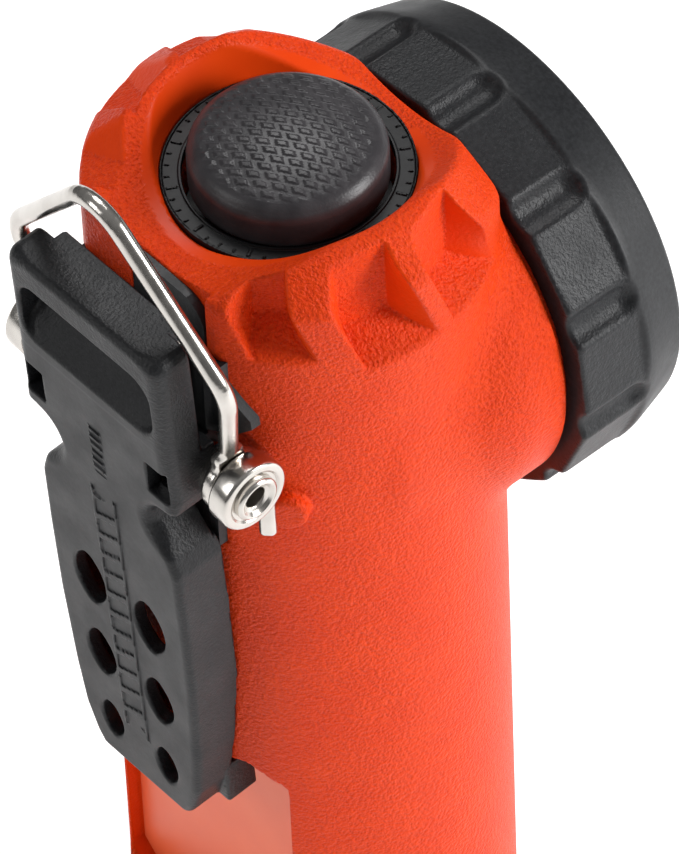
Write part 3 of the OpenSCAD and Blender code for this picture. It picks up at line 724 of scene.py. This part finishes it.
# ---------------------------------------------------------------- staples and tail cap
def staple_field(x, y, z):
    """The two slotted spring anchors, one each side."""
    c, s = math.cos(math.radians(46)), math.sin(math.radians(46))
    px, py = -np.abs(x) + 18.7, y - 21.6
    u = px * c - py * s
    w = px * s + py * c
    v = z - (RING_Z - 35.8)
    d = block(u, w, v, (-2.2, -1.2, -4.6), (2.2, 1.3, 2.8), 0.85)
    return cut(d, block(u, w, v, (-1.0, -3.0, -9.0), (1.0, 0.1, 1.2), 0.4), 0.3)


staple = skin("staple_skin", staple_field, spaced(-22.6, 0.25, -14.8, 2.0, 14.8, 0.25, 22.6),
              spaced(17.6, 0.25, 25.6), spaced(133.4, 0.25, 142.4))
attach(staple, "body")
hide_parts("spring_anchor")


def tail_field(x, y, z):
    """The tail cap with its twelve finger grooves."""
    r = np.hypot(x, y)
    d = smax(smax(r - 28.6, -z, 1.4), z - 14.6, 0.7)
    turn = np.degrees(np.arctan2(y, x))
    off = np.radians(turn - 30.0 * np.round(turn / 30.0))
    beyond = np.maximum(z - 10.5, 0)
    groove = np.sqrt((r * np.cos(off) - 33.8) ** 2 + (r * np.sin(off)) ** 2 + beyond ** 2) - 6.0
    d = cut(d, groove, 0.5)
    return cut(d, np.maximum(r - 25.95, 3.2 - z), 0.2)


tail = skin("tail_skin", tail_field, spaced(-29.0, 0.5, 29.0), spaced(-29.0, 0.5, 29.0),
            spaced(-0.4, 0.4, 15.2))
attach(tail, "tail_cap")
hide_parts("tail_cap")


# ---------------------------------------------------------------- materials
class Shader:
    """A material and a short way to add nodes to it."""

    def __init__(self, name, color, roughness, metallic=0.0, **sockets):
        self.material = bpy.data.materials.new(name)
        self.material.use_nodes = True
        self.tree = self.material.node_tree
        self.main = self.tree.nodes["Principled BSDF"]
        self.main.inputs["Base Color"].default_value = (*color, 1)
        self.main.inputs["Roughness"].default_value = roughness
        self.main.inputs["Metallic"].default_value = metallic
        for key, value in sockets.items():
            self.main.inputs[key.replace("_", " ")].default_value = value
        self.place = self.node("ShaderNodeTexCoord").outputs["Object"]

    def node(self, kind, **values):
        n = self.tree.nodes.new(kind)
        for key, value in values.items():
            if key in n.inputs:
                n.inputs[key].default_value = value
            else:
                setattr(n, key, value)
        return n

    def link(self, a, b):
        self.tree.links.new(a, b)
        return b

    def noise(self, size_mm, detail=2.0, rough=0.5):
        n = self.node("ShaderNodeTexNoise", Scale=1000.0 / size_mm, Detail=detail, Roughness=rough)
        self.link(self.place, n.inputs["Vector"])
        return n.outputs["Fac"]

    def pebbles(self, size_mm):
        n = self.node("ShaderNodeTexVoronoi", Scale=1000.0 / size_mm, feature="SMOOTH_F1")
        self.link(self.place, n.inputs["Vector"])
        return n.outputs["Distance"]

    def mask(self, name):
        return self.node("ShaderNodeAttribute", attribute_name=name).outputs["Fac"]

    def math(self, operation, a, b):
        n = self.node("ShaderNodeMath", operation=operation)
        for k, v in enumerate((a, b)):
            if isinstance(v, (int, float)):
                n.inputs[k].default_value = v
            else:
                self.link(v, n.inputs[k])
        return n.outputs[0]

    def spread(self, value, lo, hi, to_lo, to_hi):
        n = self.node("ShaderNodeMapRange")
        for k, v in ((1, lo), (2, hi), (3, to_lo), (4, to_hi)):
            n.inputs[k].default_value = v
        self.link(value, n.inputs[0])
        return n.outputs[0]

    def mix(self, factor, a, b):
        n = self.node("ShaderNodeMix", data_type="RGBA")
        self.link(factor, n.inputs[0])
        for k, v in ((6, a), (7, b)):
            if isinstance(v, tuple):
                n.inputs[k].default_value = (*v, 1)
            else:
                self.link(v, n.inputs[k])
        return n.outputs[2]

    def color(self, value):
        self.link(value, self.main.inputs["Base Color"])

    def rough(self, value):
        self.link(value, self.main.inputs["Roughness"])

    def bump(self, height, depth_mm, strength=1.0):
        n = self.node("ShaderNodeBump", Distance=depth_mm * MM)
        if isinstance(strength, float):
            n.inputs["Strength"].default_value = strength
        else:
            self.link(strength, n.inputs["Strength"])
        self.link(height, n.inputs["Height"])
        self.link(n.outputs[0], self.main.inputs["Normal"])


def orange_plastic():
    m = Shader("orange_pebbled", (0.85, 0.05, 0.008), 0.40, Specular_IOR_Level=0.14)
    textured = m.math("SUBTRACT", 1.0, m.mask("smooth"))
    relief = m.math("ADD", m.math("MULTIPLY", m.pebbles(0.55), 0.8),
                    m.math("MULTIPLY", m.noise(0.3, 2.0), 0.8))
    m.bump(relief, 0.34, m.math("MULTIPLY", textured, 0.9))
    tone = m.spread(m.noise(9.0, 3.0), 0.3, 0.7, 0.0, 1.0)
    base = m.mix(tone, (0.80, 0.052, 0.003), (0.86, 0.064, 0.004))
    # painted shade: the orange is darkened to a deep red in the pits of the pebble relief, on the textured
    # plastic only
    pit_shade = m.math("MULTIPLY", m.spread(relief, 0.5, 0.95, 0.45, 0.0), textured)
    m.color(m.mix(pit_shade, base, (0.62, 0.024, 0.002)))
    m.rough(m.spread(textured, 0.0, 1.0, 0.34, 0.42))
    return m.material


def salmon_sheen_plastic():
    # the panel's light salmon base colour is partly its own colour and partly painted reflection of the white
    # surroundings on its gloss
    m = Shader("salmon_panel_painted_sheen", (0.87, 0.16, 0.075), 0.34, Specular_IOR_Level=0.35)
    m.bump(m.noise(2.5, 2.0), 0.05, 0.25)
    m.color(m.mix(m.spread(m.noise(14.0, 2.0), 0.3, 0.7, 0.0, 1.0), (0.86, 0.13, 0.045), (0.92, 0.16, 0.058)))
    return m.material


def black_nylon(name, low, high, grain_mm, depth, masked):
    m = Shader(name, low, 0.5, Specular_IOR_Level=0.3)
    relief = m.math("ADD", m.noise(grain_mm, 2.0, 0.6), m.math("MULTIPLY", m.noise(grain_mm * 2.6, 2.0), 0.7))
    if masked:
        textured = m.math("SUBTRACT", 1.0, m.math("MULTIPLY", m.mask("smooth"), 0.85))
        m.bump(relief, depth, m.math("MULTIPLY", textured, 0.9))
    else:
        m.bump(relief, depth, 0.6)
    m.color(m.mix(m.spread(m.noise(grain_mm * 1.4, 3.0), 0.35, 0.75, 0.0, 1.0), low, high))
    m.rough(m.spread(m.noise(6.0, 3.0), 0.3, 0.7, 0.38, 0.5))
    return m.material


def rubber(name, low, high, roughness):
    m = Shader(name, low, roughness, Specular_IOR_Level=0.4)
    m.bump(m.noise(0.35, 2.0), 0.06, 0.5)
    m.color(m.mix(m.spread(m.noise(3.0, 4.0), 0.3, 0.7, 0.0, 1.0), low, high))
    return m.material


def steel(name, low, high, r_lo, r_hi, grain_mm=1.2):
    m = Shader(name, low, r_lo, 1.0)
    stretch = m.node("ShaderNodeMapping")
    stretch.inputs["Scale"].default_value = (1.0, 0.35, 0.35)
    m.link(m.place, stretch.inputs["Vector"])
    n = m.node("ShaderNodeTexNoise", Scale=1000.0 / grain_mm, Detail=4.0)
    m.link(stretch.outputs[0], n.inputs["Vector"])
    m.rough(m.spread(n.outputs["Fac"], 0.3, 0.7, r_lo, r_hi))
    m.color(m.mix(m.spread(m.noise(5.0, 3.0), 0.3, 0.7, 0.0, 1.0), low, high))
    m.bump(n.outputs["Fac"], 0.015, 0.35)
    return m.material


def plastic(name, low, high, roughness, grain_mm=0.8, **sockets):
    m = Shader(name, low, roughness, **sockets)
    m.bump(m.noise(grain_mm, 2.0), 0.04, 0.5)
    m.color(m.mix(m.spread(m.noise(4.0, 3.0), 0.3, 0.7, 0.0, 1.0), low, high))
    return m.material


def clear_lens():
    m = Shader("lens_polycarbonate", (0.97, 0.99, 1.0), 0.02, Transmission_Weight=1.0, IOR=1.5)
    m.rough(m.spread(m.noise(8.0, 3.0), 0.3, 0.8, 0.0, 0.05))
    return m.material


def circuit_board():
    m = Shader("circuit_board", (0.02, 0.16, 0.06), 0.4)
    n = m.node("ShaderNodeTexVoronoi", Scale=450.0, feature="F1", distance="CHEBYCHEV")
    m.link(m.place, n.inputs["Vector"])
    pads = m.spread(n.outputs["Distance"], 0.16, 0.2, 1.0, 0.0)
    m.color(m.mix(pads, (0.015, 0.13, 0.05), (0.45, 0.42, 0.36)))
    return m.material


ORANGE = orange_plastic()
SALMON_SHEEN = salmon_sheen_plastic()
CLIP_BLACK = black_nylon("clip_nylon", (0.009, 0.0093, 0.0105), (0.017, 0.0175, 0.0195), 0.42, 0.12, True)
CAP_BLACK = black_nylon("facecap_nylon", (0.012, 0.0125, 0.014), (0.024, 0.025, 0.0275), 0.42, 0.12, True)
PLAIN_BLACK = black_nylon("plain_nylon", (0.018, 0.0185, 0.02), (0.03, 0.031, 0.033), 0.5, 0.08, False)
TAIL_BLACK = black_nylon("tail_nylon", (0.018, 0.019, 0.021), (0.032, 0.033, 0.036), 0.55, 0.16, False)
GLOSS_BLACK = plastic("ring_gloss", (0.004, 0.004, 0.0045), (0.008, 0.008, 0.009), 0.38, 1.5,
                      Specular_IOR_Level=0.2)
BUTTON = rubber("button_rubber", (0.030, 0.028, 0.031), (0.052, 0.048, 0.052), 0.36)
SEAL = rubber("seal_rubber", (0.010, 0.010, 0.010), (0.022, 0.022, 0.022), 0.55)
STEEL = steel("polished_steel", (0.56, 0.53, 0.49), (0.66, 0.63, 0.59), 0.17, 0.27)
DARK_STEEL = steel("spring_steel", (0.30, 0.29, 0.28), (0.42, 0.40, 0.38), 0.2, 0.32)
MIRROR = steel("mirror_cup", (0.90, 0.90, 0.91), (0.94, 0.94, 0.95), 0.03, 0.07, 4.0)
ALUMINIUM = steel("aluminium", (0.70, 0.71, 0.73), (0.80, 0.80, 0.82), 0.28, 0.42)
INNER = plastic("inner_moulding", (0.045, 0.045, 0.05), (0.075, 0.075, 0.08), 0.5)
WHITE = plastic("white_board", (0.72, 0.72, 0.71), (0.80, 0.80, 0.79), 0.45, 1.2)
PHOSPHOR = plastic("phosphor_dome", (0.80, 0.60, 0.12), (0.88, 0.70, 0.20), 0.3, 0.4)
WRAP = plastic("cell_wrap", (0.42, 0.22, 0.05), (0.50, 0.28, 0.07), 0.3, 3.0)
BOARD = circuit_board()
LENS = clear_lens()

built = {
    housing: (ORANGE, "orange_body"), button: (BUTTON, "button_rubber"), ring: (GLOSS_BLACK, "black_plastic"),
    facecap: (CAP_BLACK, "black_plastic"), lens: (LENS, "lens_clear"), reflector: (MIRROR, "mirror_cup"),
    clip: (CLIP_BLACK, "black_plastic"), d_ring: (STEEL, "steel"), washers: (STEEL, "steel"),
    rivet: (STEEL, "steel"), spring: (DARK_STEEL, "steel"), staple: (STEEL, "steel"),
    tail: (TAIL_BLACK, "black_plastic"),
}
for piece, (material, name) in built.items():
    piece.data.materials.clear()
    piece.data.materials.append(material)

carried = {
    "back_panel": SALMON_SHEEN, "button_plunger": INNER, "button_spring": STEEL, "switch_body": INNER,
    "driver_board": BOARD, "terminal_plate": INNER, "lens_gasket": SEAL, "heat_sink": ALUMINIUM,
    "led_board": WHITE, "led_emitter": PHOSPHOR, "head_oring": SEAL, "clip_bracket": PLAIN_BLACK,
    "bracket_screws": DARK_STEEL, "pivot_spacers": STEEL, "tail_seal": SEAL, "tail_spring": STEEL,
    "battery_carrier": INNER, "battery_cells": WRAP, "cell_contacts": STEEL,
}
for node, material in carried.items():
    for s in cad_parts[node].material_slots:
        s.material = material

# ---------------------------------------------------------------- floor, light and camera
floor_shader = Shader("studio_floor", (0.93, 0.93, 0.93), 0.9)
floor_shader.color(floor_shader.mix(floor_shader.spread(floor_shader.noise(400.0), 0.3, 0.7, 0.0, 1.0),
                                    (0.92, 0.92, 0.92), (0.94, 0.94, 0.94)))
bpy.ops.mesh.primitive_plane_add(size=4)
floor = bpy.context.object
floor.name = "floor"
floor.data.materials.append(floor_shader.material)
floor_shader.main.inputs["Emission Color"].default_value = (1, 1, 1, 1)
floor_shader.main.inputs["Emission Strength"].default_value = 0.55

# the sky is a soft grey that grows lighter upwards
world = bpy.data.worlds.new("studio")
bpy.context.scene.world = world
world.use_nodes = True
sky = world.node_tree
direction = sky.nodes.new("ShaderNodeTexCoord")
parts = sky.nodes.new("ShaderNodeSeparateXYZ")
ramp = sky.nodes.new("ShaderNodeMapRange")
ramp.inputs["From Min"].default_value = -0.2
ramp.inputs["From Max"].default_value = 1.0
ramp.inputs["To Min"].default_value = 0.06
ramp.inputs["To Max"].default_value = 0.26
sky.links.new(direction.outputs["Generated"], parts.inputs[0])
sky.links.new(parts.outputs["Z"], ramp.inputs["Value"])
sky.links.new(ramp.outputs[0], sky.nodes["Background"].inputs["Strength"])
sky.nodes["Background"].inputs["Color"].default_value = (1, 1, 1, 1)


def softbox(name, at, aim, size, watts):
    """A rectangular area light; places in metres."""
    light = bpy.data.lights.new(name, "AREA")
    light.shape = "RECTANGLE"
    light.size, light.size_y = size
    light.energy = watts
    o = bpy.data.objects.new(name, light)
    bpy.context.scene.collection.objects.link(o)
    o.location = at
    o.rotation_euler = (Vector(aim) - Vector(at)).to_track_quat("-Z", "Y").to_euler()


softbox("key", (-0.70, -0.55, 0.45), (0, 0, 0.13), (0.30, 0.45), 8.0)
softbox("top", (0.28, -0.25, 0.80), (0, 0, 0.17), (0.30, 0.30), 2.4)
softbox("back", (0.25, 0.65, 0.55), (0, 0, 0.15), (0.22, 0.40), 1.2)

# the camera's axes, where it looks and how far away it stands, in millimetres
LOOK_AT, DISTANCE, FOCAL_LENGTH = (-3.2768, -3.9953, 121.046), 1253.5, 383.96
BACK = Vector((-0.50946, 0.41785, 0.75223))
RIGHT = Vector((-0.66059, -0.75012, -0.03072))
UP = Vector((0.55143, -0.51256, 0.65818))
camera_data = bpy.data.cameras.new("camera")
camera_data.lens = FOCAL_LENGTH
camera_data.sensor_width = 36
camera_data.clip_start, camera_data.clip_end = 0.1, 10
camera = bpy.data.objects.new("camera", camera_data)
bpy.context.scene.collection.objects.link(camera)
pose = Matrix((RIGHT, UP, BACK)).transposed().to_4x4()
pose.translation = (Vector(LOOK_AT) + BACK * DISTANCE) * MM
camera.matrix_world = pose
bpy.context.scene.camera = camera
bpy.context.scene.view_settings.view_transform = "Standard"
